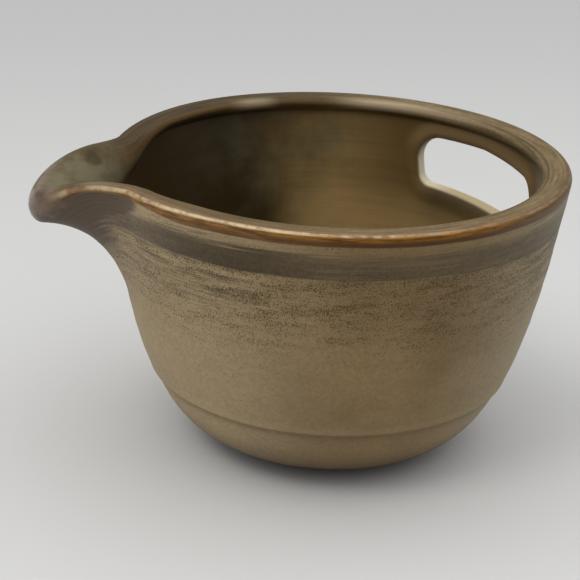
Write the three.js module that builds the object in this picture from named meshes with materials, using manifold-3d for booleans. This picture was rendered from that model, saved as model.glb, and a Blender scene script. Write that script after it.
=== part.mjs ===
// Spouted stoneware bowl, in millimetres, +Z up, pouring towards -X.
// Three clay pieces, luted together with slip before firing: the thrown bowl body, the spout and the foot ring.
import * as THREE from "three";
import * as BufferGeometryUtils from "three/addons/utils/BufferGeometryUtils.js";
import Module from "manifold-3d";

// Thrown wall
const rim_height = 81;
const rim_radius = 62.5;
const wall_thickness = 5.2;
const belly_radius = 56.8;
const belly_height = 37;

// Lip, a flat band rolled a little inwards over the wall
const lip_width = 7.6;
const lip_corner_radius = 1.6;
const lip_fall = 0.4;
const lip_dip = 0.1;
const lip_roll_radius = 1.7;
const lip_depth = 4.4;

// Turned underside, from the foot out to the step under the wall, and the floor inside
const step_height = 22.6;
const step_radius = 50.3;
const step_depth = 1.1;
const underside_radius = 42.5;
const underside_rise = 1.2;
const floor_thickness = 6;
const floor_radius = 22;
const cavity_curve_height = 30;
const cavity_curve_run = 11.5;
const cavity_curve_drop = 10;

// Foot ring
const foot_height = 2.5;
const foot_outer_radius = 28;
const foot_width = 6;
const foot_bevel = 0.6;
const foot_seat_margin = 0.5;

// Spout, drawn out from the rim: its outline, keel, lip and trough
const spout_reach = 20;
const spout_half_angle = 22.3;
const spout_droop = 7.4;
const spout_depth = 40;
const spout_lip_height = 10.1;
const spout_lip_width = 8;
const nose_half_angle = 15;
const nose_crown = 0.85;
const sag_half_angle = 69;
const sag_crown = 0.7;
const sag_share = 0.21;
const keel_flare = 1.2;
const keel_rise = 5.4;
const keel_run = 5.6;
const keel_dip = 0.9;
const trough_half_angle = 43.5;
const trough_drop = 8.7;
const trough_flare = 3.3;
const trough_depth = 32;
const trough_crest_run = 6.3;
const trough_crest_dip = 0.9;
const trough_heel_run = 4.5;
const trough_heel_rise = 3.4;

// Notch in the rim that the spout is luted into
const notch_half_width = 24;
const notch_depth = 42;
const notch_corner_radius = 16;
const notch_overrun = 10;
const seam_gap = 0.3;

// Grip opening through the wall, under a strap of the rim: an outline of straight runs round five arcs, each
// with its centre's reach along the wall from the middle of the opening, its drop below the rim and its radius
const grip_azimuth = 25;
const grip_left_reach = 20.7;
const grip_left_drop = 15.2;
const grip_left_radius = 6;
const grip_crown_reach = 5;
const grip_crown_drop = 24;
const grip_crown_radius = 15;
const grip_brow_reach = 14.3;
const grip_brow_drop = 21.4;
const grip_brow_radius = 10.5;
const grip_right_reach = 19;
const grip_right_drop = 19.9;
const grip_right_radius = 6.2;
const grip_sill_reach = 21.9;
const grip_sill_drop = 19.3;
const grip_sill_radius = 4;
const grip_edge_radius = 1.8;
const grip_overrun = 1;
const grip_cap_reach = 8;

// Facets
const spout_sector = 30;
const spout_columns = 20;
const wall_columns = 50;
const underside_rows = 6;
const lower_wall_rows = 5;
const upper_wall_rows = 8;
const corner_rows = 4;
const roll_rows = 5;
const inner_wall_rows = 6;
const cavity_wall_rows = 2;
const cavity_rows = 8;
const notch_corner_facets = 10;
const grip_directions = 48;
const grip_side_facets = 5;
const grip_edge_rows = 4;
const foot_facets = 72;

// Places worked out from the sizes; the bowl's axis stands off the origin so that the whole length is centred
const axis_x = spout_reach / 2;
const floor_height = foot_height + floor_thickness;
const seat_radius = foot_outer_radius + foot_seat_margin;
const foot_inner_radius = foot_outer_radius - foot_width;
const corner_height = rim_height - lip_corner_radius;
const crease_height = rim_height - lip_depth;
const root_height = rim_height - spout_depth;
const trough_foot_height = rim_height - trough_depth;

const { degToRad, lerp } = THREE.MathUtils;
const at = (r, z) => new THREE.Vector2(r, z);
const shares = (count) => Array.from({ length: count }, (_, i) => (i + 1) / count);

// Outer wall between the step and the rim corner, a quadratic curve solved for the height
function outerWall(z) {
  const a = step_height - 2 * belly_height + corner_height;
  const b = 2 * (belly_height - step_height);
  const c = step_height - z;
  const t = (2 * c) / (-b - Math.sqrt(b * b - 4 * a * c));
  const s = 1 - t;
  return s * s * step_radius + 2 * s * t * belly_radius + t * t * rim_radius;
}

const innerWall = (z) => outerWall(z) - wall_thickness;

function arc(centre, semi_r, semi_z, from, to, fractions) {
  return fractions.map((f) => {
    const a = degToRad(lerp(from, to, f));
    return at(centre.x + semi_r * Math.cos(a), centre.y + semi_z * Math.sin(a));
  });
}

// Rows below the spout on the outside: the flat seat for the foot, the turned underside, the step, the lower wall
function lowerRows() {
  const seat = at(seat_radius, foot_height);
  const step_foot = at(step_radius - step_depth, step_height - step_depth);
  const underside = new THREE.QuadraticBezierCurve(
    seat, at(underside_radius, foot_height + underside_rise), step_foot);
  return [
    seat,
    ...shares(underside_rows).map((f) => underside.getPoint(f)),
    at(step_radius, step_height - step_depth / 2),
    at(step_radius, step_height),
    ...shares(lower_wall_rows).map((f) => lerp(step_height, root_height, f)).map((z) => at(outerWall(z), z)),
  ];
}

// Rows over the upper wall and lip where there is no spout, ending on the inner edge of the lip
function plainRimRows() {
  const corner = at(rim_radius - lip_corner_radius, corner_height);
  const roll = at(rim_radius - lip_width + lip_roll_radius, rim_height - lip_fall - lip_roll_radius);
  return [
    ...shares(upper_wall_rows).map((f) => lerp(root_height, corner_height, f)).map((z) => at(outerWall(z), z)),
    ...arc(corner, lip_corner_radius, lip_corner_radius, 0, 90, shares(corner_rows)),
    at((corner.x + roll.x) / 2, rim_height - lip_dip),
    ...arc(roll, lip_roll_radius, lip_roll_radius, 90, 180, [0, ...shares(roll_rows - 2)]),
    at(innerWall(crease_height), crease_height),
  ];
}

// The same rows along the middle of the spout: its keel, the round of the tip and the trough
function spoutRimRows() {
  const root = at(outerWall(root_height), root_height);
  const crest_height = rim_height - spout_droop;
  const tip = at(rim_radius + spout_reach - spout_lip_width / 2, crest_height - spout_lip_height / 2);
  const keel_end = at(tip.x, crest_height - spout_lip_height);
  const keel = new THREE.CubicBezierCurve(
    root, at(root.x + keel_flare, root.y + keel_rise), at(root.x + keel_run, keel_end.y - keel_dip), keel_end);
  const crest = at(tip.x, crest_height);
  const heel_height = crease_height - trough_drop;
  const heel = at(innerWall(heel_height) + trough_flare, heel_height);
  const trough = new THREE.CubicBezierCurve(
    crest, at(crest.x - trough_crest_run, crest.y - trough_crest_dip),
    at(heel.x + trough_heel_run, heel.y + trough_heel_rise), heel);
  return [
    ...shares(upper_wall_rows).map((f) => keel.getPoint(f)),
    ...arc(tip, spout_lip_width / 2, spout_lip_height / 2, -90, 90, shares(corner_rows + 1)),
    ...shares(roll_rows).map((f) => trough.getPoint(f)),
  ];
}

// Rows of the cavity below the trough, down to the flat floor
function cavityRows() {
  const top = at(innerWall(cavity_curve_height), cavity_curve_height);
  const curve = new THREE.CubicBezierCurve(
    top, at(top.x - wall_thickness / 2, top.y - cavity_curve_drop),
    at(floor_radius + cavity_curve_run, floor_height), at(floor_radius, floor_height));
  const wall = shares(cavity_wall_rows).map((f) => lerp(trough_foot_height, cavity_curve_height, f));
  return [...wall.map((z) => at(innerWall(z), z)), ...shares(cavity_rows).map((f) => curve.getPoint(f))];
}

// A raised cosine, 1 on the spout's middle line and 0 at half_angle; a crown under 1 makes it more pointed
function share(angle, half_angle, crown) {
  const x = Math.min(Math.abs(angle) / half_angle, 1);
  return (1 + Math.cos(Math.PI * x ** crown)) / 2;
}

const lower_rows = lowerRows();
const plain_rows = plainRimRows();
const spout_rows = spoutRimRows();
const cavity_rows_below = cavityRows();

// The wall's section at an angle from the spout's middle line, from the seat of the foot to the floor
function section(angle) {
  const out = share(angle, spout_half_angle, 1);
  const down = share(angle, trough_half_angle, 1);
  const lip_down = lerp(share(angle, nose_half_angle, nose_crown), share(angle, sag_half_angle, sag_crown), sag_share);
  const lip_rows = plain_rows.length - roll_rows;
  const rim = plain_rows.map((plain, i) => {
    const f = Math.max(i + 1 - lip_rows, 0) / roll_rows;
    const fall = lerp(lip_down, down, f);
    return at(lerp(plain.x, spout_rows[i].x, out), lerp(plain.y, spout_rows[i].y, fall));
  });
  const heel = rim[rim.length - 1];
  heel.x = innerWall(heel.y) + trough_flare * out;
  const inner = shares(inner_wall_rows).map((f) => {
    const z = lerp(heel.y, trough_foot_height, f);
    return at(innerWall(z) + trough_flare * out * (1 - f) ** 2, z);
  });
  return [...lower_rows, ...rim, ...inner, ...cavity_rows_below];
}

const wasm = await Module();
wasm.setup();

function solid(geometry) {
  const bare = geometry.clone();
  bare.deleteAttribute("normal");
  bare.deleteAttribute("uv");
  const merged = BufferGeometryUtils.mergeVertices(bare, 1e-4);
  return new wasm.Manifold(new wasm.Mesh({
    numProp: 3,
    vertProperties: new Float32Array(merged.attributes.position.array),
    triVerts: new Uint32Array(merged.index.array),
  }));
}

function geometryOf(manifold) {
  const mesh = manifold.getMesh();
  const geometry = new THREE.BufferGeometry();
  geometry.setAttribute("position", new THREE.BufferAttribute(mesh.vertProperties, 3));
  geometry.setIndex(new THREE.BufferAttribute(mesh.triVerts, 1));
  geometry.computeVertexNormals();
  return geometry;
}

// Closed surface over rings of points, each ring with as many points, capped by one point before and one after
function ringsGeometry(first, rings, last) {
  const count = rings[0].length;
  const positions = [first, ...rings.flat(), last].flatMap((p) => p.toArray());
  const end = rings.length * count + 1;
  const index = [];
  for (let j = 0; j < count; j += 1) {
    const k = (j + 1) % count;
    index.push(0, 1 + k, 1 + j);
    for (let i = 1; i < rings.length; i += 1) {
      const below = 1 + (i - 1) * count;
      const above = 1 + i * count;
      index.push(below + j, below + k, above + k, below + j, above + k, above + j);
    }
    index.push(end, end - count + j, end - count + k);
  }
  const geometry = new THREE.BufferGeometry();
  geometry.setAttribute("position", new THREE.Float32BufferAttribute(positions, 3));
  geometry.setIndex(index);
  return geometry;
}

// Point at an azimuth from +X about the bowl's axis
function around(azimuth, r, z) {
  const a = degToRad(azimuth);
  return new THREE.Vector3(axis_x + r * Math.cos(a), r * Math.sin(a), z);
}

// The clay wall with its spout, before it is parted at the seam: closer columns where the spout is
function clayWall() {
  const near_spout = shares(spout_columns).map((f) => lerp(-spout_sector, spout_sector, f));
  const far_side = shares(wall_columns).map((f) => lerp(spout_sector, 360 - spout_sector, f));
  const columns = [...near_spout, ...far_side].map((angle) => {
    const turned = angle > 180 ? angle - 360 : angle;
    return section(turned).map((p) => around(180 + angle, p.x, p.y));
  });
  const rings = columns[0].map((_, i) => columns.map((column) => column[i]));
  const under = new THREE.Vector3(axis_x, 0, foot_height);
  const floor = new THREE.Vector3(axis_x, 0, floor_height);
  return ringsGeometry(under, rings, floor);
}

// U-shaped notch, seen along X, grown by a margin for the gap of the slip seam
function notchGeometry(margin) {
  const half = notch_half_width + margin;
  const low = rim_height - notch_depth - margin;
  const high = rim_height + notch_overrun;
  const round = notch_corner_radius + margin;
  const outline = new THREE.Shape();
  outline.moveTo(-half, high);
  outline.lineTo(-half, low + round);
  outline.absarc(-half + round, low + round, round, Math.PI, 1.5 * Math.PI, false);
  outline.absarc(half - round, low + round, round, 1.5 * Math.PI, 2 * Math.PI, false);
  outline.lineTo(half, high);
  const outer_reach = rim_radius + spout_reach + notch_overrun;
  const inner_reach = innerWall(low) - notch_overrun;
  const geometry = new THREE.ExtrudeGeometry(outline, {
    depth: outer_reach - inner_reach, bevelEnabled: false, curveSegments: notch_corner_facets,
  });
  const along_x = new THREE.Matrix4().makeBasis(
    new THREE.Vector3(0, 1, 0), new THREE.Vector3(0, 0, 1), new THREE.Vector3(1, 0, 0));
  geometry.applyMatrix4(along_x);
  geometry.translate(axis_x - outer_reach, 0, 0);
  return geometry;
}

// Outline of the grip opening, as centres, radii and directions: the arc that reaches furthest each way, and
// points along the straight run wherever the next arc takes over
function gripOutline() {
  const ends = [
    { centre: at(grip_left_reach, rim_height - grip_left_drop), radius: grip_left_radius },
    { centre: at(-grip_right_reach, rim_height - grip_right_drop), radius: grip_right_radius },
    { centre: at(grip_sill_reach, rim_height - grip_sill_drop), radius: grip_sill_radius },
  ];
  const tops = [
    { centre: at(grip_crown_reach, rim_height - grip_crown_drop), radius: grip_crown_radius },
    { centre: at(-grip_brow_reach, rim_height - grip_brow_drop), radius: grip_brow_radius },
  ];
  const corners = Array.from({ length: grip_directions }, (_, i) => {
    const a = (2 * Math.PI * i) / grip_directions;
    const way = new THREE.Vector2(Math.cos(a), Math.sin(a));
    const reach = ({ centre, radius }) => centre.dot(way) + radius;
    const arcs = way.y > 0 ? [...ends, ...tops] : ends;
    return { way, ...arcs.reduce((best, arc) => (reach(arc) > reach(best) ? arc : best)) };
  });
  return corners.flatMap((corner, i) => {
    const next = corners[(i + 1) % corners.length];
    if (corner.centre.equals(next.centre)) return [corner];
    return [corner, ...shares(grip_side_facets).slice(0, -1).map((f) => ({
      way: corner.way.clone().lerp(next.way, f).normalize(),
      radius: lerp(corner.radius, next.radius, f),
      centre: corner.centre.clone().lerp(next.centre, f),
    }))];
  });
}

// Tool for the opening: it follows the curved wall and flares at both faces, so that it leaves rounded edges
function gripGeometry() {
  const outline = gripOutline();
  const centre_height = rim_height - (grip_left_drop + grip_right_drop) / 2;
  const middle_radius = outerWall(centre_height) - wall_thickness / 2;
  const ring = (depth, grow) => outline.map(({ way, radius, centre }) => {
    const p = centre.clone().addScaledVector(way, radius + grow);
    return around(grip_azimuth + THREE.MathUtils.radToDeg(p.x / middle_radius), innerWall(p.y) + depth, p.y);
  });
  const first_share = 0.1;
  const arc_rows = Array.from({ length: grip_edge_rows }, (_, i) => lerp(first_share, 1, i / (grip_edge_rows - 1)));
  const grow_at = (f) => grip_edge_radius * (1 - Math.sqrt(1 - (1 - f) ** 2));
  const slope = (1 - first_share) / Math.sqrt(1 - (1 - first_share) ** 2);
  const flare = grow_at(first_share) + slope * (grip_overrun + first_share * grip_edge_radius);
  const inner = arc_rows.map((f) => ring(f * grip_edge_radius, grow_at(f)));
  const outer = arc_rows.map((f) => ring(wall_thickness - f * grip_edge_radius, grow_at(f))).reverse();
  const rings = [
    ring(-grip_overrun, flare), ...inner, ...outer, ring(wall_thickness + grip_overrun, flare),
  ];
  const cap = (r) => around(grip_azimuth, r, centre_height);
  return ringsGeometry(cap(middle_radius - grip_cap_reach), rings, cap(middle_radius + grip_cap_reach));
}

// Foot ring, a turned band with bevelled edges that the bowl stands on
function footGeometry() {
  const profile = [
    at(foot_inner_radius, foot_bevel), at(foot_inner_radius + foot_bevel, 0),
    at(foot_outer_radius - foot_bevel, 0), at(foot_outer_radius, foot_bevel),
    at(foot_outer_radius, foot_height), at(foot_inner_radius, foot_height), at(foot_inner_radius, foot_bevel),
  ];
  const geometry = new THREE.LatheGeometry(profile, foot_facets);
  geometry.rotateX(Math.PI / 2);
  geometry.translate(axis_x, 0, 0);
  return geometry;
}

const glaze = new THREE.MeshStandardMaterial({ color: 0x7d6c52, roughness: 0.7, metalness: 0 });
const spout_glaze = new THREE.MeshStandardMaterial({ color: 0x6e6150, roughness: 0.6, metalness: 0 });
const bare_clay = new THREE.MeshStandardMaterial({ color: 0x8a7560, roughness: 0.9, metalness: 0 });

function piece(name, geometry, material) {
  const mesh = new THREE.Mesh(geometry, material);
  mesh.name = name;
  return mesh;
}

const clay = solid(clayWall());
const body = clay.subtract(solid(notchGeometry(seam_gap))).subtract(solid(gripGeometry()));
const spout = clay.intersect(solid(notchGeometry(0)));

const spouted_bowl = new THREE.Group();
spouted_bowl.add(
  piece("bowl_body", geometryOf(body), glaze),
  piece("spout", geometryOf(spout), spout_glaze),
  piece("foot_ring", footGeometry(), bare_clay),
);

export default spouted_bowl;
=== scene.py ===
import math

import bpy
import numpy as np
from mathutils import Matrix, Vector


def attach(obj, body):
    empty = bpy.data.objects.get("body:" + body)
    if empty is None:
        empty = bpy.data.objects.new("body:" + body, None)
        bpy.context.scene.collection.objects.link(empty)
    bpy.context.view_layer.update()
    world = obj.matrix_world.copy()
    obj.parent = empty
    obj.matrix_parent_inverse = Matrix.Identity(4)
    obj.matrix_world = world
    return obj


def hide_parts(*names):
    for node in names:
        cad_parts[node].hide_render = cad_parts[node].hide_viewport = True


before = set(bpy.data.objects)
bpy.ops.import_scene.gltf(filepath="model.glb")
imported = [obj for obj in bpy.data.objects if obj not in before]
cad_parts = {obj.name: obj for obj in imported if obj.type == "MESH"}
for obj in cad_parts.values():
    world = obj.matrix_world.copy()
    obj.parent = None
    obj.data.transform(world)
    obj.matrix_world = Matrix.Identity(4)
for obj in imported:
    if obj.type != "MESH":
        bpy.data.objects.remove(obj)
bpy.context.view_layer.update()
bpy.context.scene.view_settings.view_transform = "Standard"

# Glazed bowl: thrown stoneware with a flat rolled rim, a spout drawn out of it while the clay was soft, and an
# oblong grip opening cut through the wall and smoothed by thumb. One skin, because the glaze covers the seam of
# the spout. Sizes are in metres, and the bowl's axis stands off the origin by half the reach of the spout.
rim_height, rim_radius, wall_thickness = 0.081, 0.0625, 0.0052
belly_radius, belly_height = 0.0568, 0.037
lip_width, lip_corner_radius, lip_fall = 0.0076, 0.0016, 0.0004
lip_dip, lip_roll_radius, lip_depth = 0.0001, 0.0017, 0.0044
step_height, step_radius, step_depth = 0.0226, 0.0503, 0.0011
underside_radius, underside_rise, seat_radius = 0.0425, 0.0012, 0.0285
foot_height, floor_thickness, floor_radius = 0.0025, 0.006, 0.022
cavity_curve_height, cavity_curve_run, cavity_curve_drop = 0.030, 0.0115, 0.010
spout_reach, spout_half_angle, spout_droop, spout_depth = 0.020, 22.3, 0.0074, 0.040
spout_lip_height, spout_lip_width = 0.0101, 0.008
nose_half_angle, nose_crown = 15.0, 0.85
sag_half_angle, sag_crown, sag_share = 69.0, 0.7, 0.21
keel_flare, keel_rise, keel_run, keel_dip = 0.0012, 0.0054, 0.0056, 0.0009
trough_half_angle, trough_drop, trough_flare, trough_depth = 43.5, 0.0087, 0.0033, 0.032
trough_crest_run, trough_crest_dip, trough_heel_run, trough_heel_rise = 0.0063, 0.0009, 0.0045, 0.0034
grip_azimuth, grip_edge_radius = 25.0, 0.0018
grip_ends = [(0.0207, -0.0152, 0.006), (-0.019, -0.0199, 0.0062), (0.0219, -0.0193, 0.004)]
grip_tops = [(0.005, -0.024, 0.015), (-0.0143, -0.0214, 0.0105)]

axis_x = spout_reach / 2
floor_height = foot_height + floor_thickness
corner_height = rim_height - lip_corner_radius
crease_height = rim_height - lip_depth
root_height = rim_height - spout_depth
trough_foot_height = rim_height - trough_depth


def outer_wall(z):
    """Radius at a height: one smooth curve from the step out over the belly to the rim."""
    a = step_height - 2 * belly_height + corner_height
    b = 2 * (belly_height - step_height)
    c = step_height - z
    t = 2 * c / (-b - np.sqrt(b * b - 4 * a * c))
    s = 1 - t
    return s * s * step_radius + 2 * s * t * belly_radius + t * t * rim_radius


def inner_wall(z):
    return outer_wall(z) - wall_thickness


def bezier(points, f):
    points = [np.array(p, float) for p in points]
    f = np.atleast_1d(f)[:, None]
    while len(points) > 1:
        points = [p * (1 - f) + q * f for p, q in zip(points, points[1:])]
    return points[0]


def steps(count):
    return np.arange(1, count + 1) / count


def between(low, high, count):
    return low + (high - low) * steps(count)


def raised_cosine(angle, half_angle, crown):
    x = min(abs(angle) / half_angle, 1.0)
    return (1 + math.cos(math.pi * x ** crown)) / 2


# Rows of the skin from the middle of the underside, up the outer wall, over the lip and down to the cavity floor
patch_low, patch_high = 0.0515, 0.0762
root_rows, patch_rows = 6, 24
base_rows = np.array([(r, foot_height) for r in (0.004, 0.012, 0.020, 0.0265, seat_radius)])
seat_edge = (seat_radius, foot_height)
step_foot = (step_radius - step_depth, step_height - step_depth)
underside_rows = bezier([seat_edge, (underside_radius, foot_height + underside_rise), step_foot], steps(20))
ledge_angles = np.radians(between(-90, 0, 6))
ledge_rows = np.stack([
    step_foot[0] + step_depth * np.cos(ledge_angles), step_height + step_depth * np.sin(ledge_angles)], 1)
low_wall_z = between(step_height, root_height, 22)
low_rows = np.concatenate([base_rows, underside_rows, ledge_rows, np.stack([outer_wall(low_wall_z), low_wall_z], 1)])

high_wall_z = np.concatenate([
    between(root_height, patch_low, root_rows), between(patch_low, patch_high, patch_rows),
    between(patch_high, corner_height, 5)])
corner_steps, roll_steps = steps(12), steps(16)
inner_z = np.concatenate([
    between(crease_height, patch_high, 1), between(patch_high, patch_low, patch_rows),
    between(patch_low, trough_foot_height, 3)])
inner_steps = (crease_height - inner_z) / (crease_height - trough_foot_height)


def plain_rim():
    """Rows over the lip where the rim is as it was thrown: corner, flat top, roll and crease under the roll."""
    corner = np.array([rim_radius - lip_corner_radius, corner_height])
    roll = np.array([rim_radius - lip_width + lip_roll_radius, rim_height - lip_fall - lip_roll_radius])
    middle = np.array([(corner[0] + roll[0]) / 2, rim_height - lip_dip])
    roll_start = roll + [0, lip_roll_radius]
    crease = np.array([inner_wall(crease_height), crease_height])
    rows = [(outer_wall(z), z) for z in high_wall_z]
    arc_share, crease_pull = 0.8, 0.0012
    for g in corner_steps:
        a = math.radians(90 * min(g / arc_share, 1))
        top = corner + lip_corner_radius * np.array([math.cos(a), math.sin(a)])
        f = max(g - arc_share, 0) / (1 - arc_share)
        rows.append(top * (1 - f) + middle * f)
    for g in roll_steps:
        if g <= 1 - arc_share:
            f = g / (1 - arc_share)
            rows.append(middle * (1 - f) + roll_start * f)
        elif g <= arc_share:
            a = math.radians(90 + 90 * (g - 1 + arc_share) / (2 * arc_share - 1))
            rows.append(roll + lip_roll_radius * np.array([math.cos(a), math.sin(a)]))
        else:
            f = (g - arc_share) / (1 - arc_share)
            under_roll = roll - [lip_roll_radius, 0]
            rows.append(bezier([under_roll, under_roll - [0, crease_pull], crease], f)[0])
    return np.array(rows)


def spout_rim():
    """The same rows in the middle of the spout: keel, nose and trough."""
    root = np.array([outer_wall(root_height), root_height])
    crest_height = rim_height - spout_droop
    tip = np.array([rim_radius + spout_reach - spout_lip_width / 2, crest_height - spout_lip_height / 2])
    keel_end = np.array([tip[0], crest_height - spout_lip_height])
    keel = [root, root + [keel_flare, keel_rise], [root[0] + keel_run, keel_end[1] - keel_dip], keel_end]
    heel_height = crease_height - trough_drop
    heel = np.array([inner_wall(heel_height) + trough_flare, heel_height])
    crest = np.array([tip[0], crest_height])
    trough = [crest, crest - [trough_crest_run, trough_crest_dip], heel + [trough_heel_run, trough_heel_rise], heel]
    wall_steps = (high_wall_z - root_height) / (corner_height - root_height)
    nose = np.radians(-90 + 180 * corner_steps)
    nose_rows = tip + np.stack([spout_lip_width / 2 * np.cos(nose), spout_lip_height / 2 * np.sin(nose)], 1)
    return np.concatenate([bezier(keel, wall_steps), nose_rows, bezier(trough, roll_steps)])


def cavity():
    top = np.array([inner_wall(cavity_curve_height), cavity_curve_height])
    curve = [top, top - [wall_thickness / 2, cavity_curve_drop],
             (floor_radius + cavity_curve_run, floor_height), (floor_radius, floor_height)]
    wall_z = between(trough_foot_height, cavity_curve_height, 16)
    floor = [(r, floor_height) for r in (0.0205, 0.018, 0.015, 0.012, 0.009, 0.006, 0.003)]
    return np.concatenate([np.stack([inner_wall(wall_z), wall_z], 1), bezier(curve, steps(26)), floor])


plain_rows, spout_rows, cavity_rows = plain_rim(), spout_rim(), cavity()
in_wall = np.stack([inner_wall(inner_z), inner_z], 1)
undrawn = np.concatenate([low_rows, plain_rows, in_wall, cavity_rows])
row_lengths = np.concatenate([[0], np.cumsum(np.linalg.norm(np.diff(undrawn, axis=0), axis=1))])
wall_top_row = len(low_rows) + len(high_wall_z) - 1
from_rim = row_lengths - row_lengths[wall_top_row]


def section(angle):
    """Rows, each a radius and a height, at an angle from the middle of the spout, and how far it is drawn out."""
    out = raised_cosine(angle, spout_half_angle, 1.0)
    down = raised_cosine(angle, trough_half_angle, 1.0)
    nose = raised_cosine(angle, nose_half_angle, nose_crown)
    sag = raised_cosine(angle, sag_half_angle, sag_crown)
    f = np.zeros(len(plain_rows))
    f[-len(roll_steps):] = roll_steps
    fall = (nose * (1 - sag_share) + sag * sag_share) * (1 - f) + down * f
    rim = np.stack([plain_rows[:, 0] * (1 - out) + spout_rows[:, 0] * out,
                    plain_rows[:, 1] * (1 - fall) + spout_rows[:, 1] * fall], 1)
    rim[-1, 0] = inner_wall(rim[-1, 1]) + trough_flare * out
    z = rim[-1, 1] + (trough_foot_height - rim[-1, 1]) * inner_steps
    inner = np.stack([inner_wall(z) + trough_flare * out * (1 - inner_steps) ** 2, z], 1)
    return np.concatenate([low_rows, rim, inner, cavity_rows]), out


def around(azimuth, radius, z):
    a = np.radians(azimuth)
    return np.stack([axis_x + radius * np.cos(a), radius * np.sin(a), z + 0 * a], -1)


# Columns run once round from the edge of the patch that holds the grip opening, and lie closest on the spout
patch_half_angle, patch_steps = 33, 66
spout_from, spout_to = 150, 210
patch_left, patch_right = grip_azimuth - patch_half_angle, grip_azimuth + patch_half_angle
azimuths = np.concatenate([
    between(patch_left, patch_right, patch_steps), between(patch_right, spout_from, 60),
    between(spout_from, spout_to, 84), between(spout_to, 360 + patch_left, 136)])
columns, drawn_out = [], []
for azimuth in azimuths:
    rows, out = section((azimuth % 360) - 180)
    columns.append(rows)
    drawn_out.append(out)
columns = np.array(columns)
column_count, row_count = columns.shape[:2]
grid = around(azimuths[:, None] + np.zeros(row_count), columns[:, :, 0], columns[:, :, 1])

outer_low = len(low_rows) + root_rows - 1
outer_patch = (outer_low, outer_low + patch_rows)
inner_high = len(low_rows) + len(plain_rows)
inner_patch = (inner_high, inner_high + patch_rows)
left_column, right_column = column_count - 1, patch_steps - 1
patch_columns = [left_column] + list(range(right_column))

points = [tuple(p) for column in grid for p in column]
thrown = []
for azimuth, out in zip(azimuths, drawn_out):
    a = math.radians(azimuth)
    thrown += [(math.cos(a), math.sin(a), h * 100) for h in from_rim]
drawn = [out for out in drawn_out for _ in range(row_count)]
through = [0.0] * len(points)


def grid_index(column, row):
    return (column % column_count) * row_count + row


faces = []
for i in range(column_count):
    for j in range(row_count - 1):
        in_patch_rows = outer_patch[0] <= j < outer_patch[1] or inner_patch[0] <= j < inner_patch[1]
        if i in patch_columns and in_patch_rows:
            continue
        faces.append((grid_index(i, j), grid_index(i + 1, j), grid_index(i + 1, j + 1), grid_index(i, j + 1)))
for row, z in ((0, foot_height), (row_count - 1, floor_height)):
    centre = len(points)
    points.append((axis_x, 0, z))
    thrown.append((0, 0, float(from_rim[row]) * 100))
    drawn.append(0.0)
    through.append(0.0)
    for i in range(column_count):
        a, b = grid_index(i, row), grid_index(i + 1, row)
        faces.append((centre, b, a) if row == 0 else (centre, a, b))

# Opening: its outline is straight runs round five arcs, each given as the reach of its centre along the wall, its
# height from the rim and its radius. Rings of points lead from the edge of each patch to it and through the wall
grip_centre = rim_height + (grip_ends[0][1] + grip_ends[1][1]) / 2
middle_radius = outer_wall(grip_centre) - wall_thickness / 2
outline_step = 0.0003
grip_turns = np.radians(np.arange(0, 360, 1.5))
grip_ways = np.stack([np.cos(grip_turns), np.sin(grip_turns)], 1)


def to_grip(azimuth, z):
    return np.stack([np.radians(azimuth - grip_azimuth) * middle_radius, z - rim_height], -1)


def from_grip(p):
    return grip_azimuth + np.degrees(p[..., 0] / middle_radius), rim_height + p[..., 1]


def furthest_arc(way):
    arcs = grip_ends + grip_tops if way[1] > 0 else grip_ends
    return max(arcs, key=lambda arc: arc[0] * way[0] + arc[1] * way[1] + arc[2])


grip_arcs = np.array([furthest_arc(way) for way in grip_ways])
grip_reach = np.sum(grip_arcs[:, :2] * grip_ways, 1) + grip_arcs[:, 2]
corners = np.concatenate([grip_arcs, grip_ways], 1)
outline_rows = []
for row, following in zip(corners, np.roll(corners, -1, 0)):
    ends = [r[:2] + r[2] * r[3:] for r in (row, following)]
    count = math.ceil(np.linalg.norm(ends[1] - ends[0]) / outline_step)
    outline_rows += [row + (following - row) * k / count for k in range(count)]
outline_rows = np.array(outline_rows)


def border(bottom, top):
    """Columns and rows round a patch, given its bottom and top rows: along the bottom first, away from its left."""
    up = 1 if top > bottom else -1
    loop = [(left_column + k, bottom) for k in range(patch_steps)]
    loop += [(right_column, bottom + up * k) for k in range(patch_rows)]
    loop += [(right_column - k, top) for k in range(patch_steps)]
    loop += [(left_column, top - up * k) for k in range(patch_rows)]
    return [(column % column_count, row) for column, row in loop]


def add_ring(azimuth, radius, z, rim_way, open_share):
    start = len(points)
    for p, a, way in zip(around(azimuth, radius, z), np.radians(azimuth), rim_way):
        points.append(tuple(p))
        thrown.append((math.cos(a), math.sin(a), float(way)))
        drawn.append(0.0)
        through.append(open_share)
    return list(range(start, len(points)))


def stitch(ring_a, ring_b):
    for k, a in enumerate(ring_a):
        m = (k + 1) % len(ring_a)
        faces.append((a, ring_a[m], ring_b[m], ring_b[k]))


def way_at(z, outside):
    """Way along the wall from the rim, in centimetres, at heights in the patch."""
    first, last = outer_patch if outside else inner_patch
    heights, ways = undrawn[first:last + 1, 1], from_rim[first:last + 1] * 100
    order = np.argsort(heights)
    return np.interp(z, heights[order], ways[order])


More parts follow.
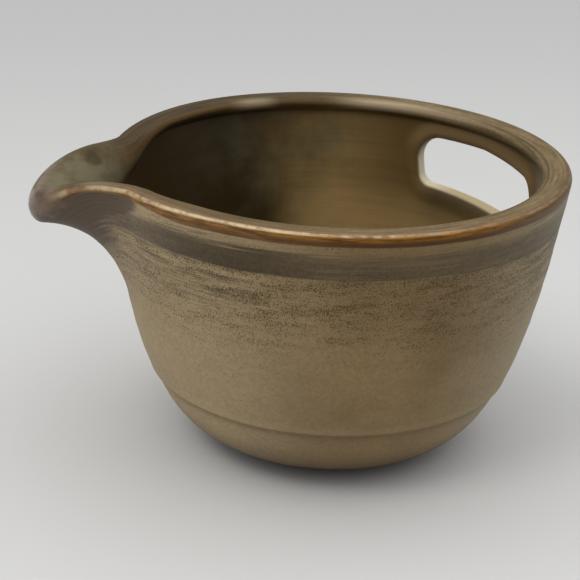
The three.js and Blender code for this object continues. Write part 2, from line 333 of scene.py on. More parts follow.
# Each border point looks to a place on the outline: mostly the nearest one, partly one that keeps them even
outer_loop, inner_loop = border(*outer_patch), border(*reversed(inner_patch))
border_azimuth = np.array([azimuths[column] for column, _ in outer_loop])
border_azimuth = np.where(border_azimuth > 180, border_azimuth - 360, border_azimuth)
border_xy = to_grip(border_azimuth, np.array([columns[column, row, 1] for column, row in outer_loop]))
outline_xy = outline_rows[:, :2] + outline_rows[:, 2:3] * outline_rows[:, 3:]
gaps = np.linalg.norm(border_xy[:, None] - outline_xy[None], axis=2)
outline_start, outline_count, near_share = np.argmin(gaps[0]), len(outline_rows), 0.7
nearest = np.maximum.accumulate((np.argmin(gaps, 1) - outline_start) % outline_count)
even = np.arange(len(nearest)) * outline_count / len(nearest)
place = nearest * near_share + even * (1 - near_share) + outline_start
low = np.floor(place).astype(int)
on_outline = outline_rows[low % outline_count]
on_outline = on_outline + (outline_rows[(low + 1) % outline_count] - on_outline) * (place - low)[:, None]
away = on_outline[:, 3:] / np.linalg.norm(on_outline[:, 3:], axis=1, keepdims=True)


def outline_points(grow):
    return on_outline[:, :2] + away * (on_outline[:, 2:3] + grow)


def ring_rows(loop, outside):
    """From the edge of the patch to the start of the rounded edge of the opening."""
    ring = [grid_index(column, row) for column, row in loop]
    for f in steps(8):
        azimuth, z = from_grip(border_xy * (1 - f) + outline_points(grip_edge_radius) * f)
        radius = outer_wall(z) if outside else inner_wall(z)
        new = add_ring(azimuth, radius, z, way_at(z, outside), 0.0)
        stitch(ring, new) if outside else stitch(new, ring)
        ring = new
    return ring


outside_ring = ring_rows(outer_loop, True)
inside_ring = ring_rows(inner_loop, False)
for angle in np.radians(between(0, 90, 6)):
    share_open, depth = math.sin(angle), grip_edge_radius * (1 - math.cos(angle))
    azimuth, z = from_grip(outline_points(grip_edge_radius * (1 - share_open)))
    new = add_ring(azimuth, outer_wall(z) - depth, z, way_at(z, True), share_open)
    stitch(outside_ring, new)
    outside_ring = new
    new = add_ring(azimuth, inner_wall(z) + depth, z, way_at(z, False), share_open)
    stitch(new, inside_ring)
    inside_ring = new
stitch(outside_ring, inside_ring)

faces = np.array([face + face[:1] if len(face) == 3 else face for face in faces])
used, renumbered = np.unique(faces, return_inverse=True)
faces = [tuple(dict.fromkeys(face)) for face in renumbered.reshape(faces.shape).tolist()]
coords, thrown = np.array(points)[used], np.array(thrown)[used]
drawn, through = np.array(drawn)[used], np.array(through)[used]
skin = bpy.data.meshes.new("glazed_bowl")
skin.from_pydata(coords.tolist(), [], faces)

# Thumbed welt: the cut edge of the opening was smoothed into a soft roll that stands proud on both faces of the
# wall, a little more on the inner one
welt_middle, welt_half_width, inner_welt_height, outer_welt_height = 0.0026, 0.0034, 0.0004, 0.0003
welt_half_angle, face_share, welt_reach = 40, 1 / 1.6, 0.006
axis_xy = coords[:, :2] - [axis_x, 0]
radii = np.linalg.norm(axis_xy, axis=1)
azimuth_all = np.degrees(np.arctan2(axis_xy[:, 1], axis_xy[:, 0]))
grip_xy = to_grip(azimuth_all, coords[:, 2])
from_edge = np.max(grip_xy @ grip_ways.T - grip_reach, axis=1)
wall_share = np.clip((radii - inner_wall(np.maximum(coords[:, 2], patch_low))) / wall_thickness, 0, 1)
in_patch_height = (coords[:, 2] > patch_low) & (coords[:, 2] < crease_height + 0.0001)
near_grip = in_patch_height & (np.abs(azimuth_all - grip_azimuth) < welt_half_angle)
swell = np.clip(1 - np.abs(from_edge - welt_middle) / welt_half_width, 0, 1)
swell = swell * swell * (3 - 2 * swell) * near_grip
inward = inner_welt_height * swell * np.clip(1 - wall_share / face_share, 0, 1)
outward = outer_welt_height * swell * np.clip(1 - (1 - wall_share) / face_share, 0, 1)
scale = (radii + outward - inward) / np.maximum(radii, 1e-6)
coords[:, :2] = axis_xy * scale[:, None] + [axis_x, 0]
skin.vertices.foreach_set("co", coords.astype(np.float32).ravel())

by_opening = np.clip(1 - np.maximum(from_edge, 0) / welt_reach, 0, 1) * near_grip
for name, kind, values in (
        ("thrown", "FLOAT_VECTOR", thrown), ("drawn", "FLOAT", drawn), ("through", "FLOAT", through),
        ("by_opening", "FLOAT", by_opening), ("wall_share", "FLOAT", wall_share)):
    attribute = skin.attributes.new(name, kind, "POINT")
    field = "vector" if kind == "FLOAT_VECTOR" else "value"
    attribute.data.foreach_set(field, np.asarray(values, np.float32).ravel())
skin.update()
bowl = bpy.data.objects.new("glazed_bowl", skin)
bpy.context.scene.collection.objects.link(bowl)

# Throwing rings: the fingers of the potter leave shallow ridges round the wall, inside and out. They follow the
# rows of the wall up on to the spout, and they stop at the lip, the opening and the turned underside.


def tree_socket(tree, name, kind, default=None):
    socket = tree.interface.new_socket(name, in_out="INPUT", socket_type=kind)
    if default is not None:
        socket.default_value = default


def add_node(tree, kind, inputs=None, **settings):
    """A node with its settings, its inputs given as values or as the sockets that feed them."""
    made = tree.nodes.new(kind)
    for name, value in settings.items():
        setattr(made, name, value)
    for name, value in (inputs or {}).items():
        socket = made.inputs[name]
        if isinstance(value, bpy.types.NodeSocket):
            tree.links.new(value, socket)
        else:
            socket.default_value = value
    return made


def calc(tree, operation, a, b=0.5, c=0.5):
    return add_node(tree, "ShaderNodeMath", {0: a, 1: b, 2: c}, operation=operation).outputs[0]


def times(tree, a, b):
    return calc(tree, "MULTIPLY", a, b)


def fade(tree, value, low, high, at_low=0.0, at_high=1.0):
    """Smooth step of a value from one level to another."""
    return add_node(tree, "ShaderNodeMapRange", {
        "Value": value, "From Min": low, "From Max": high, "To Min": at_low, "To Max": at_high,
    }, interpolation_type="SMOOTHSTEP").outputs[0]


def hump(tree, value, rise_from, rise_to, fall_from, fall_to):
    return times(tree, fade(tree, value, rise_from, rise_to), fade(tree, value, fall_from, fall_to, 1.0, 0.0))


def finish_with_nodes(piece, tree, material, values):
    """Runs a node tree on a piece, keeps the result as a plain mesh, and takes the modifier off."""
    modifier = piece.modifiers.new(tree.name, "NODES")
    modifier.node_group = tree
    sockets = {item.name: item.identifier for item in tree.interface.items_tree if item.in_out == "INPUT"}
    modifier[sockets["Finish"]] = material
    for name, value in values.items():
        modifier[sockets[name]] = value
    bpy.context.view_layer.update()
    evaluated = piece.evaluated_get(bpy.context.evaluated_depsgraph_get())
    made = bpy.data.meshes.new_from_object(evaluated, preserve_all_data_layers=True,
                                           depsgraph=bpy.context.evaluated_depsgraph_get())
    old = piece.data
    piece.modifiers.remove(modifier)
    piece.data = made
    bpy.data.meshes.remove(old)
    made.name = piece.name
    made.shade_smooth()


glaze = bpy.data.materials.new("iron_glaze")
rings = bpy.data.node_groups.new("throwing_rings", "GeometryNodeTree")
tree_socket(rings, "Geometry", "NodeSocketGeometry")
tree_socket(rings, "Finish", "NodeSocketMaterial")
tree_socket(rings, "Outer Depth", "NodeSocketFloat", 0.0002)
tree_socket(rings, "Inner Depth", "NodeSocketFloat", 0.0004)
tree_socket(rings, "Rings Per Centimetre", "NodeSocketFloat", 2.0)
tree_socket(rings, "Wander", "NodeSocketFloat", 0.5)
rings.interface.new_socket("Geometry", in_out="OUTPUT", socket_type="NodeSocketGeometry")
asked = rings.nodes.new("NodeGroupInput").outputs
wheel = add_node(rings, "GeometryNodeInputNamedAttribute", {"Name": "thrown"}, data_type="FLOAT_VECTOR").outputs[0]
near_opening = add_node(
    rings, "GeometryNodeInputNamedAttribute", {"Name": "by_opening"}, data_type="FLOAT").outputs[0]
down_wall = add_node(rings, "ShaderNodeSeparateXYZ", {0: wheel}).outputs[2]
row_scale = add_node(rings, "ShaderNodeCombineXYZ", {
    0: asked["Wander"], 1: asked["Wander"], 2: asked["Rings Per Centimetre"]}).outputs[0]
ring_place = add_node(rings, "ShaderNodeVectorMath", {0: wheel, 1: row_scale}, operation="MULTIPLY").outputs[0]
ring_noise = add_node(rings, "ShaderNodeTexNoise", {
    "Vector": ring_place, "Scale": 1.0, "Detail": 2.0, "Roughness": 0.4}).outputs[0]
groove = calc(rings, "SUBTRACT", fade(rings, ring_noise, 0.3, 0.7), 1.0)
outside = hump(rings, down_wall, -5.9, -5.5, -1.2, -0.4)
inside = fade(rings, down_wall, 1.5, 2.6)
depth = calc(rings, "ADD", times(rings, outside, asked["Outer Depth"]), times(rings, inside, asked["Inner Depth"]))
depth = times(rings, depth, calc(rings, "SUBTRACT", 1.0, near_opening))
offset = add_node(rings, "ShaderNodeVectorMath", {
    0: add_node(rings, "GeometryNodeInputNormal").outputs[0], "Scale": times(rings, depth, groove),
}, operation="SCALE").outputs[0]
ridged = add_node(rings, "GeometryNodeSetPosition", {"Geometry": asked["Geometry"], "Offset": offset}).outputs[0]
whole = add_node(rings, "GeometryNodeRealizeInstances", {"Geometry": ridged}).outputs[0]
glazed = add_node(rings, "GeometryNodeSetMaterial", {"Geometry": whole, "Material": asked["Finish"]}).outputs[0]
add_node(rings, "NodeGroupOutput", {0: glazed})
finish_with_nodes(bowl, rings, glaze, {
    "Outer Depth": 0.00015, "Inner Depth": 0.0001, "Rings Per Centimetre": 2.2, "Wander": 0.45})

# Glaze: matte tan iron glaze, brushed with a darker iron wash round the neck while the pot turned, amber and
# glossy where it ran thin over the edge of the lip, and a glossier brown pool inside. The patterns read where
# each point of clay was before the spout was drawn, so bands and brush lines sweep up on to the spout.
glaze.use_nodes = True
g = glaze.node_tree
g.nodes.clear()


def srgb(red, green, blue):
    """A colour given as it looks on screen, each part from 0 to 255."""
    shown = [v / 255 for v in (red, green, blue)]
    return tuple(v / 12.92 if v <= 0.04045 else ((v + 0.055) / 1.055) ** 2.4 for v in shown) + (1.0,)


def blend(tree, amount, under, over):
    return add_node(tree, "ShaderNodeMix", {0: amount, 6: under, 7: over}, data_type="RGBA").outputs[2]


def blend_value(tree, amount, under, over):
    return add_node(tree, "ShaderNodeMix", {0: amount, 2: under, 3: over}, data_type="FLOAT").outputs[0]


def noise(tree, place, scale, detail=3.0, roughness=0.5, shift=0.0):
    """Noise read at a place that is scaled alike or along each axis; the shift keeps two noises apart."""
    scales = scale if isinstance(scale, tuple) else (scale, scale, scale)
    moved = add_node(tree, "ShaderNodeMapping", {
        "Vector": place, "Location": (shift, shift, shift), "Scale": scales}).outputs[0]
    return add_node(tree, "ShaderNodeTexNoise", {
        "Vector": moved, "Scale": 1.0, "Detail": detail, "Roughness": roughness}).outputs[0]


def swing(tree, wave, reach):
    """A noise as a wander to either side of nothing."""
    return times(tree, calc(tree, "SUBTRACT", wave, 0.5), reach)


# Where a point is: on the finished bowl, and on the wheel before the spout was drawn. to_spout is 1 in the middle
# of the spout and -1 behind, and rim_way is the way along the wall in centimetres, above 0 on the lip and inside
place = add_node(g, "ShaderNodeTexCoord").outputs["Object"]
place_x, _, height = add_node(g, "ShaderNodeSeparateXYZ", {0: place}).outputs
wheel = add_node(g, "ShaderNodeAttribute", attribute_name="thrown").outputs["Vector"]
wheel_x, wheel_y, rim_way = add_node(g, "ShaderNodeSeparateXYZ", {0: wheel}).outputs
to_spout = times(g, wheel_x, -1.0)
drawn_share, in_tunnel, by_opening, wall_share = [
    add_node(g, "ShaderNodeAttribute", attribute_name=name).outputs["Fac"]
    for name in ("drawn", "through", "by_opening", "wall_share")]

# Tan ground, with broad pale and dark clouds; paler and warmer on the side of the spout, where the paler part is
# painted light from the left, and paler and greyer behind, partly painted fill light and partly a greyer tone
cloud = noise(g, place, (28, 28, 34), 4, 0.55)
tan = blend(g, fade(g, cloud, 0.35, 0.68), srgb(118, 98, 68), srgb(138, 116, 83))
# Painted light: the wall paler on the side of the spout, which faces the light
tan = blend(g, fade(g, to_spout, 0.0, 0.85, 0.0, 0.64), tan, srgb(180, 162, 130))
# Paler and greyer behind: partly painted fill light, partly a greyer tone of the glaze
tan = blend(g, fade(g, to_spout, -0.25, -0.85, 0.0, 0.72), tan, srgb(158, 148, 121))

# Iron speckle: grains a third of a millimetre across, gathered in short level streaks that fade out down the wall
grains = noise(g, place, 2900, 2, 0.6)
grit = noise(g, place, 800, 3, 0.7)
tan = blend(g, fade(g, grit, 0.35, 0.65, 0.22, 0.0), tan, srgb(84, 68, 44))
streaky = fade(g, noise(g, wheel, 5.5, 4, 0.6, 7.0), 0.40, 0.66)
neck = times(g, fade(g, rim_way, -4.8, -1.5), fade(g, rim_way, -1.0, -0.4, 1.0, 0.35))
crowd = times(g, blend_value(g, streaky, 0.5, 1.0), blend_value(g, neck, 0.12, 1.0))
sparse_level, crowd_drop = 0.68, 0.225
grain_level = calc(g, "SUBTRACT", sparse_level, times(g, crowd, crowd_drop))
speck = fade(g, calc(g, "SUBTRACT", grains, grain_level), 0.0, 0.05)
color = blend(g, times(g, crowd, 0.22), tan, srgb(90, 74, 48))
color = blend(g, times(g, speck, 0.82), color, srgb(60, 44, 22))

# Brushed iron wash: one full band, its lower edge the sharper and laid on thickest left of the front, thinner
# lines under it, and a dark flank on the spout where the brush turned
streak = noise(g, wheel, (1.6, 1.6, 8.0), 5, 0.62, 1.0)
fine_streak = noise(g, wheel, (3.0, 3.0, 24.0), 4, 0.65, 5.0)
broad_streak = noise(g, wheel, (2.6, 2.6, 10.0), 4, 0.6, 9.0)
way = calc(g, "ADD", rim_way, swing(g, streak, 0.30))
ragged = calc(g, "ADD", way, swing(g, fine_streak, 0.9))
full_band = times(g, fade(g, way, -1.12, -1.03), fade(g, ragged, -0.50, -0.28, 1.0, 0.0))
bristles = calc(g, "ADD", fine_streak, times(g, speck, 0.3))
band = times(g, full_band, fade(g, bristles, 0.30, 0.62, 0.66, 1.0))
band = times(g, band, fade(g, grit, 0.38, 0.6, 0.7, 1.0))
left_front = hump(g, to_spout, 0.2, 0.5, 0.75, 0.95)
band = blend_value(g, times(g, left_front, 0.7), band, full_band)
line_zone = times(g, fade(g, rim_way, -3.3, -1.2), fade(g, rim_way, -0.2, -0.1, 1.0, 0.0))
line_zone = times(g, line_zone, fade(g, calc(g, "ABSOLUTE", wheel_x), 0.25, 0.75, 0.15, 1.0))
lines = calc(g, "MAXIMUM", fade(g, fine_streak, 0.54, 0.64, 0.0, 0.85), fade(g, broad_streak, 0.53, 0.59))
lines = times(g, lines, line_zone)
flank_way = calc(g, "ADD", to_spout, swing(g, fine_streak, 0.05))
flank_way = calc(g, "ADD", flank_way, fade(g, rim_way, -1.0, -0.1, 0.0, 0.07))
flank = times(g, fade(g, flank_way, 0.962, 0.992), fade(g, rim_way, -2.2, -1.2))
flank = times(g, flank, fade(g, fine_streak, 0.30, 0.62, 0.84, 0.98))
wash = calc(g, "MAXIMUM", times(g, band, 0.96), times(g, lines, 0.55))
wash = calc(g, "MAXIMUM", wash, flank)
iron = blend(g, fade(g, streak, 0.35, 0.65), srgb(86, 74, 56), srgb(64, 56, 42))
iron = blend(g, left_front, iron, srgb(54, 45, 33))
iron = blend(g, fade(g, to_spout, 0.6, 0.98), iron, srgb(74, 62, 52))
color = blend(g, wash, color, iron)

# Turned step: a painted highlight on its edge, where the glaze also breaks paler, painted shade under it, where the
# glaze also gathers dark, and painted shade darkening down to the foot
# Painted shade under the step and a painted highlight on its edge
under_step_shade = hump(g, height, 0.0185, 0.0210, 0.0214, 0.0226)
step_highlight = hump(g, height, 0.0218, 0.0228, 0.0234, 0.0250)
color = blend(g, times(g, under_step_shade, 0.35), color, srgb(92, 74, 50))
color = blend(g, times(g, step_highlight, 0.2), color, srgb(160, 140, 108))
# Painted shade: darker down to the foot
color = blend(g, fade(g, height, 0.0165, 0.0045, 0.0, 0.6), color, srgb(72, 55, 32))

# Edge of the lip: glossy amber brown where the glaze ran thin, only a thin line of it on the spout, milky towards
# the spout and dull brown behind
wet_edge = noise(g, wheel, (2.0, 2.0, 1.5), 4, 0.6, 3.0)
edge_way = calc(g, "ADD", rim_way, swing(g, wet_edge, 0.10))
amber_low = fade(g, to_spout, 0.72, 0.97, -0.16, 0.06)
amber_zone = fade(g, calc(g, "SUBTRACT", edge_way, amber_low), -0.02, 0.03)
amber_mottle = noise(g, wheel, (9.0, 9.0, 14.0), 4, 0.65, 11.0)
amber_glow = times(g, fade(g, amber_mottle, 0.30, 0.62), fade(g, edge_way, -0.07, 0.04, 0.1, 1.0))
amber = blend(g, amber_glow, srgb(62, 34, 6), srgb(126, 82, 24))
amber = blend(g, fade(g, to_spout, -0.3, -0.8, 0.0, 0.75), amber, srgb(84, 64, 38))
milky = blend(g, fade(g, amber_mottle, 0.36, 0.68), srgb(90, 58, 28), srgb(132, 102, 66))
amber = blend(g, fade(g, to_spout, 0.1, 0.7, 0.0, 0.65), amber, milky)
color = blend(g, amber_zone, color, amber)

# Top of the lip: mottled grey brown with a dark scored line at the back, nearly black at the far left with a brown
# inner edge, and two painted highlights on the far side of the roll
lip_cloud = noise(g, place, 150, 4, 0.6)
lip_streak = noise(g, wheel, (3.2, 3.2, 11.0), 4, 0.66, 17.0)
lip_top = blend(g, fade(g, lip_streak, 0.28, 0.72), srgb(82, 66, 40), srgb(123, 106, 75))
lip_top = blend(g, fade(g, grit, 0.35, 0.6, 0.3, 0.0), lip_top, srgb(58, 44, 24))
score_way = calc(g, "ADD", rim_way, swing(g, wet_edge, 0.12))
score = times(g, hump(g, score_way, 0.66, 0.71, 0.73, 0.78), fade(g, to_spout, -0.1, -0.5, 0.0, 0.6))
lip_top = blend(g, score, lip_top, srgb(40, 29, 12))
lip_top = blend(g, fade(g, to_spout, 0.1, 0.7, 0.0, 0.5), lip_top, srgb(78, 59, 32))
far_left = calc(g, "ADD", times(g, wheel_y, 0.8), times(g, to_spout, 0.6))
far_brown = blend(g, fade(g, lip_streak, 0.36, 0.64), srgb(32, 21, 5), srgb(58, 42, 16))
lip_top = blend(g, fade(g, far_left, 0.3, 0.9, 0.0, 0.85), lip_top, far_brown)
inner_edge = times(g, hump(g, rim_way, 0.70, 0.80, 0.88, 0.98), fade(g, far_left, 0.0, 0.5, 0.0, 0.5))
lip_top = blend(g, inner_edge, lip_top, srgb(84, 60, 26))
# Painted highlights: two pale patches on the far side of the roll
far_roll = times(g, fade(g, wheel_y, 0.3, 0.6), hump(g, rim_way, 0.44, 0.80, 1.04, 1.14))
left_roll_highlight = times(g, hump(g, to_spout, 0.10, 0.23, 0.27, 0.42), 0.75)
right_roll_highlight = hump(g, to_spout, -1.0, -0.50, -0.40, -0.10)
roll_highlight = times(g, calc(g, "MAXIMUM", left_roll_highlight, right_roll_highlight), far_roll)
roll_highlight = times(g, roll_highlight, fade(g, lip_streak, 0.3, 0.7, 0.55, 0.75))
lip_top = blend(g, roll_highlight, lip_top, srgb(164, 148, 122))
color = blend(g, fade(g, edge_way, 0.16, 0.28), color, lip_top)

# Painted highlight: a pale broken line between the amber edge and the top, where the glaze also breaks paler; weaker
# behind, on the far side and at the tip of the spout
broken = noise(g, wheel, (16.0, 16.0, 3.0), 4, 0.7, 13.0)
edge_highlight = times(g, hump(g, edge_way, 0.08, 0.13, 0.16, 0.21), fade(g, broken, 0.34, 0.6, 0.25, 1.0))
for along, levels in ((to_spout, (-0.45, 0.2, 0.15, 0.85)), (to_spout, (0.985, 0.995, 1.0, 0.2)),
                      (wheel_y, (0.1, 0.35, 1.0, 0.5))):
    edge_highlight = times(g, edge_highlight, fade(g, along, *levels))
color = blend(g, edge_highlight, color, srgb(194, 176, 144))

# Trough: grey green, browner towards the bowl, with one brown spot on its far side, and a mauve face at the tip
on_spout = fade(g, drawn_share, 0.05, 0.5)
trough_cloud = noise(g, place, 90, 4, 0.6, 2.0)
trough = blend(g, fade(g, trough_cloud, 0.38, 0.62), srgb(68, 58, 34), srgb(98, 92, 70))
spot_centre = (-0.0548, 0.0118, 0.0767)
from_spot = add_node(g, "ShaderNodeVectorMath", {0: place, 1: spot_centre}, operation="DISTANCE").outputs[1]
from_spot = calc(g, "ADD", from_spot, swing(g, noise(g, place, 300, 3, 0.6, 8.0), 0.006))
trough = blend(g, fade(g, from_spot, 0.0012, 0.0036, 0.8, 0.0), trough, srgb(48, 37, 20))
trough = blend(g, fade(g, rim_way, 0.62, 1.0, 0.0, 0.55), trough, srgb(52, 46, 28))
color = blend(g, times(g, on_spout, fade(g, edge_way, 0.14, 0.26)), color, trough)
tip_face = times(g, fade(g, to_spout, 0.984, 0.997), hump(g, rim_way, -0.15, 0.0, 0.35, 0.6))
mauve = blend(g, fade(g, lip_cloud, 0.35, 0.65), srgb(86, 70, 62), srgb(118, 104, 94))
color = blend(g, times(g, tip_face, 0.85), color, mauve)

# Inside: olive brown, clouded with grey green, with painted shade on the side of the spout and under the sill of the
# opening, and painted light low down on the far wall. Across is 1 at the wall by the spout and -1 at the wall behind
cavity_radius = 0.0545
across = times(g, calc(g, "SUBTRACT", axis_x, place_x), 1 / cavity_radius)
pool = noise(g, place, (34, 34, 30), 5, 0.6)
inner = blend(g, fade(g, pool, 0.38, 0.62), srgb(136, 111, 69), srgb(114, 97, 63))
inner = blend(g, fade(g, across, -0.1, -0.6, 0.0, 0.85), inner, srgb(74, 56, 28))
# Painted shade on the wall under the sill of the opening
under_sill_shade = times(g, fade(g, to_spout, -0.60, -0.74), hump(g, height, 0.036, 0.050, 0.0572, 0.0597))
inner = blend(g, times(g, under_sill_shade, 0.94), inner, srgb(26, 18, 6))
# Painted shade on the wall on the side of the spout
spout_side_shade = calc(g, "ADD", across, swing(g, pool, 0.7))
inner = blend(g, fade(g, spout_side_shade, -0.3, 0.35), inner, srgb(40, 31, 13))
moss_cloud = noise(g, place, 44, 4, 0.55, 6.0)
moss = times(g, fade(g, moss_cloud, 0.38, 0.72, 0.0, 0.45), hump(g, across, -0.5, -0.05, 0.35, 0.8))
inner = blend(g, moss, inner, srgb(90, 90, 72))
# Painted light low down on the far inner wall
low_inside_light = times(g, fade(g, height, 0.060, 0.044), fade(g, across, 0.2, -0.2, 0.0, 0.5))
inner = blend(g, low_inside_light, inner, srgb(160, 133, 88))
inner = blend(g, fade(g, broad_streak, 0.44, 0.64, 0.0, 0.1), inner, srgb(58, 44, 22))
inside = fade(g, edge_way, 0.92, 1.18)
color = blend(g, inside, color, inner)

# Strap of clay over the opening, painted lighter where it lies in shade, and the cut of the opening: cream where the
# glaze slid off it, most of all on the sill, and dark brown painted shade at its inner edge and under the strap
# Painted light: the strap lifted lighter where it lies in shade
strap = times(g, times(g, inside, by_opening), fade(g, height, 0.066, 0.073, 0.0, 0.95))
color = blend(g, strap, color, srgb(124, 102, 70))
# Painted shade: dark brown on the inner rounding of the cut and under the strap
bared_unshaded = times(g, fade(g, wall_share, 0.02, 0.22), fade(g, height, 0.063, 0.071, 1.0, 0.35))
bared_unshaded = times(g, bared_unshaded, fade(g, wall_share, 0.80, 0.98, 1.0, 0.4))
cream = blend(g, fade(g, to_spout, -0.66, -0.80), srgb(206, 196, 170), srgb(174, 158, 124))
cut = blend(g, bared_unshaded, srgb(74, 58, 34), cream)
color = blend(g, fade(g, in_tunnel, 0.45, 0.85, 0.0, 0.9), color, cut)

# Unglazed clay at the bottom, up to the wavering edge of the glaze
glaze_end = 0.004
clay_edge = calc(g, "ADD", height, swing(g, cloud, 0.003))
bare = fade(g, clay_edge, glaze_end - 0.0002, glaze_end + 0.0002, 1.0, 0.0)
color = blend(g, bare, color, srgb(104, 84, 64))

# Sheen: matte on the wall and lip, wet on the amber edge but for the back, satin inside, and dry on bare clay
amber_roughness = fade(g, to_spout, -0.8, -0.2, 0.46, 0.17)
roughness = blend_value(g, amber_zone, blend_value(g, wash, 0.6, 0.5), amber_roughness)
roughness = blend_value(g, fade(g, edge_way, 0.22, 0.4), roughness, 0.62)
roughness = blend_value(g, inside, roughness, blend_value(g, by_opening, 0.38, 0.7))
roughness = blend_value(g, bare, roughness, 0.85)
relief = calc(g, "ADD", times(g, noise(g, place, 620, 3, 0.6), 0.6), times(g, streak, 0.8))
pitted = add_node(g, "ShaderNodeBump", {"Strength": 0.18, "Distance": 0.0003, "Height": relief}).outputs[0]
shader = add_node(g, "ShaderNodeBsdfPrincipled", {
    "Base Color": color, "Roughness": roughness, "Normal": pitted, "IOR": 1.38,
    "Specular Tint": (1.0, 0.84, 0.6, 1)}).outputs[0]
add_node(g, "ShaderNodeOutputMaterial", {"Surface": shader})

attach(bowl, "root")
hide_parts("bowl_body", "spout")

# Foot ring: a low turned band of bare stoneware that the bowl stands on, luted under the wall. The profile is a
# block with its two lower edges rounded, carried once round the axis.
foot_outer_radius, foot_width, foot_bevel = 0.028, 0.006, 0.0006
foot_clay = bpy.data.materials.new("bare_clay")
turning = bpy.data.node_groups.new("turned_ring", "GeometryNodeTree")
tree_socket(turning, "Geometry", "NodeSocketGeometry")
tree_socket(turning, "Finish", "NodeSocketMaterial")
tree_socket(turning, "Outer Radius", "NodeSocketFloat", foot_outer_radius)
tree_socket(turning, "Width", "NodeSocketFloat", foot_width)
tree_socket(turning, "Height", "NodeSocketFloat", foot_height)
tree_socket(turning, "Edge Radius", "NodeSocketFloat", foot_bevel)
tree_socket(turning, "Axis Offset", "NodeSocketFloat", axis_x)
turning.interface.new_socket("Geometry", in_out="OUTPUT", socket_type="NodeSocketGeometry")
asked = turning.nodes.new("NodeGroupInput").outputs
middle = calc(turning, "SUBTRACT", asked["Outer Radius"], times(turning, asked["Width"], 0.5))
path = add_node(turning, "GeometryNodeCurvePrimitiveCircle", {"Resolution": 180, "Radius": middle}).outputs[0]
profile = add_node(turning, "GeometryNodeCurvePrimitiveQuadrilateral", {
    "Width": asked["Width"], "Height": asked["Height"]}, mode="RECTANGLE").outputs[0]
corner_place = add_node(turning, "GeometryNodeInputPosition").outputs[0]
corner_y = add_node(turning, "ShaderNodeSeparateXYZ", {0: corner_place}).outputs[1]
low_corner = calc(turning, "LESS_THAN", corner_y, 0.0)
rounded = add_node(turning, "GeometryNodeFilletCurve", {
    "Curve": profile, "Count": 4, "Radius": times(turning, low_corner, asked["Edge Radius"]),
}, mode="POLY").outputs[0]
swept = add_node(turning, "GeometryNodeCurveToMesh", {"Curve": path, "Profile Curve": rounded}).outputs[0]
welded = add_node(turning, "GeometryNodeMergeByDistance", {"Geometry": swept, "Distance": 0.000001}).outputs[0]
stand = add_node(turning, "ShaderNodeCombineXYZ", {
    0: asked["Axis Offset"], 2: times(turning, asked["Height"], 0.5)}).outputs[0]
standing = add_node(turning, "GeometryNodeTransform", {"Geometry": welded, "Translation": stand}).outputs[0]
whole = add_node(turning, "GeometryNodeRealizeInstances", {"Geometry": standing}).outputs[0]
clayed = add_node(turning, "GeometryNodeSetMaterial", {"Geometry": whole, "Material": asked["Finish"]}).outputs[0]
add_node(turning, "NodeGroupOutput", {0: clayed})
foot = bpy.data.objects.new("turned_foot", bpy.data.meshes.new("turned_foot"))
bpy.context.scene.collection.objects.link(foot)
finish_with_nodes(foot, turning, foot_clay, {
    "Outer Radius": foot_outer_radius, "Width": foot_width, "Height": foot_height, "Edge Radius": foot_bevel,
    "Axis Offset": axis_x})

# Bare clay: sandy, with grog specks and the fine rings of the turning tool
foot_clay.use_nodes = True
g = foot_clay.node_tree
g.nodes.clear()
place = add_node(g, "ShaderNodeTexCoord").outputs["Object"]
centred = add_node(g, "ShaderNodeMapping", {"Vector": place, "Location": (-axis_x, 0, 0)}).outputs[0]
level_way = add_node(g, "ShaderNodeVectorMath", {0: centred, 1: (1, 1, 0)}, operation="MULTIPLY").outputs[0]
from_axis = add_node(g, "ShaderNodeVectorMath", {0: level_way}, operation="LENGTH").outputs[1]
tool_rings = add_node(g, "ShaderNodeTexNoise", {
    "W": times(g, from_axis, 2600.0), "Scale": 1.0, "Detail": 2.0}, noise_dimensions="1D").outputs[0]
grain = noise(g, place, 900, 4, 0.65)
grog = fade(g, noise(g, place, 1300, 2, 0.6, 4.0), 0.66, 0.72, 0.0, 0.7)
tone = blend(g, fade(g, grain, 0.3, 0.7), srgb(92, 74, 56), srgb(116, 96, 74))
tone = blend(g, grog, tone, srgb(78, 60, 46))
sandy = calc(g, "ADD", grain, tool_rings)
rough = add_node(g, "ShaderNodeBump", {"Strength": 0.4, "Distance": 0.0002, "Height": sandy}).outputs[0]
shader = add_node(g, "ShaderNodeBsdfPrincipled", {
    "Base Color": tone, "Roughness": 0.9, "Normal": rough}).outputs[0]
add_node(g, "ShaderNodeOutputMaterial", {"Surface": shader})

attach(foot, "root")
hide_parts("foot_ring")

# Studio: a plain pale ground with painted shade that darkens it further back, a sky that is brightest overhead, a
# broad light and a smaller one that make the glints high on the left, and a broad fill on the right.
ground_reach = 8.0
ground_corners = [(x * ground_reach, y * ground_reach, 0) for x, y in ((-1, -1), (1, -1), (1, 1), (-1, 1))]
ground_mesh = bpy.data.meshes.new("ground")
ground_mesh.from_pydata(ground_corners, [], [(0, 1, 2, 3)])
ground = bpy.data.objects.new("ground", ground_mesh)
bpy.context.scene.collection.objects.link(ground)
ground_material = bpy.data.materials.new("pale_ground")
ground_material.use_nodes = True
g = ground_material.node_tree
g.nodes.clear()
ground_place = add_node(g, "ShaderNodeTexCoord").outputs["Object"]
backward = add_node(g, "ShaderNodeSeparateXYZ", {0: ground_place}).outputs[1]
# Painted shade: the ground darker further back, standing in for light falling off
near_tone, far_shaded_tone = (0.53, 0.532, 0.535, 1), (0.365, 0.37, 0.375, 1)
painted_falloff = blend(g, fade(g, backward, -0.15, 0.6), near_tone, far_shaded_tone)
shader = add_node(g, "ShaderNodeBsdfPrincipled", {
    "Base Color": painted_falloff, "Roughness": 0.9, "Specular IOR Level": 0.2}).outputs[0]
add_node(g, "ShaderNodeOutputMaterial", {"Surface": shader})
ground_mesh.materials.append(ground_material)

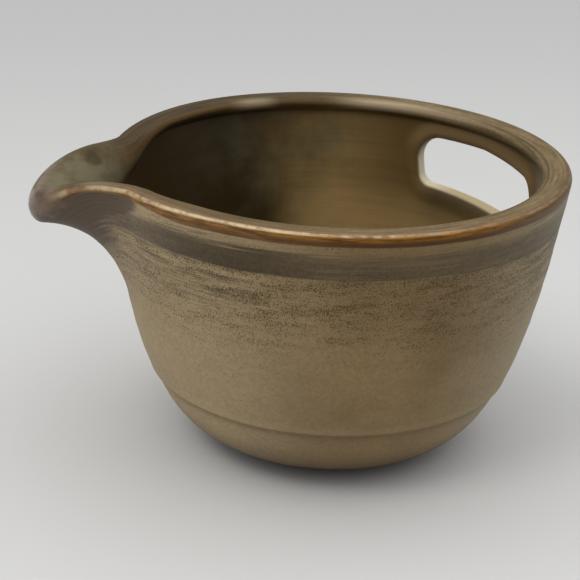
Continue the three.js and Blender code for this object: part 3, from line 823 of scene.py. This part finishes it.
sky = bpy.data.worlds.new("soft_sky")
bpy.context.scene.world = sky
sky.use_nodes = True
g = sky.node_tree
g.nodes.clear()
sky_way = add_node(g, "ShaderNodeTexCoord").outputs["Generated"]
upness = add_node(g, "ShaderNodeSeparateXYZ", {0: sky_way}).outputs[2]
level_glow, zenith_glow = 0.12, 1.54
background = add_node(g, "ShaderNodeBackground", {
    "Color": (1.0, 0.995, 0.98, 1), "Strength": fade(g, upness, 0.15, 0.95, level_glow, zenith_glow)}).outputs[0]
add_node(g, "ShaderNodeOutputWorld", {"Surface": background})

view_turn = math.radians(-10.7)


def to_part(sideways, ahead, up):
    """A direction given across and along the camera's level line of sight, in the part's frame."""
    return Matrix.Rotation(view_turn, 3, "Z") @ Vector((sideways, ahead, up))


def soft_light(name, from_way, strength, spread, tint):
    lamp = bpy.data.lights.new(name, "SUN")
    lamp.energy, lamp.angle, lamp.color = strength, math.radians(spread), tint
    holder = bpy.data.objects.new(name, lamp)
    holder.rotation_euler = to_part(*from_way).to_track_quat("Z", "Y").to_euler()
    bpy.context.scene.collection.objects.link(holder)


soft_light("key_light", (-0.72, -0.20, 0.66), 0.66, 75, (1.0, 0.985, 0.96))
soft_light("glint_light", (-0.40, -0.42, 0.81), 0.5, 20, (1.0, 0.97, 0.92))
soft_light("fill_light", (0.75, 0.15, 0.60), 0.44, 80, (0.99, 0.99, 1.0))

# Camera: where the photograph was taken from, turned from the line of the spout and tipped a little to one side
focal_length_pixels, frame_width_pixels, sensor_width = 1600, 580, 36.0
view_distance, view_rise, view_tip = 0.445413, math.radians(22.572), math.radians(2.341)
aim_across, aim_height = -0.011373, 0.040817
forward = to_part(0, math.cos(view_rise), -math.sin(view_rise))
level = to_part(1, 0, 0)
upward = level.cross(forward)
right = math.cos(view_tip) * level + math.sin(view_tip) * upward
top = math.cos(view_tip) * upward - math.sin(view_tip) * level
lens = bpy.data.cameras.new("camera")
lens.sensor_width, lens.lens = sensor_width, focal_length_pixels / frame_width_pixels * sensor_width
camera = bpy.data.objects.new("camera", lens)
eye = Vector((axis_x, 0, aim_height)) + aim_across * level - view_distance * forward
camera.matrix_world = Matrix.Translation(eye) @ Matrix((right, top, -forward)).transposed().to_4x4()
bpy.context.scene.collection.objects.link(camera)
bpy.context.scene.camera = camera
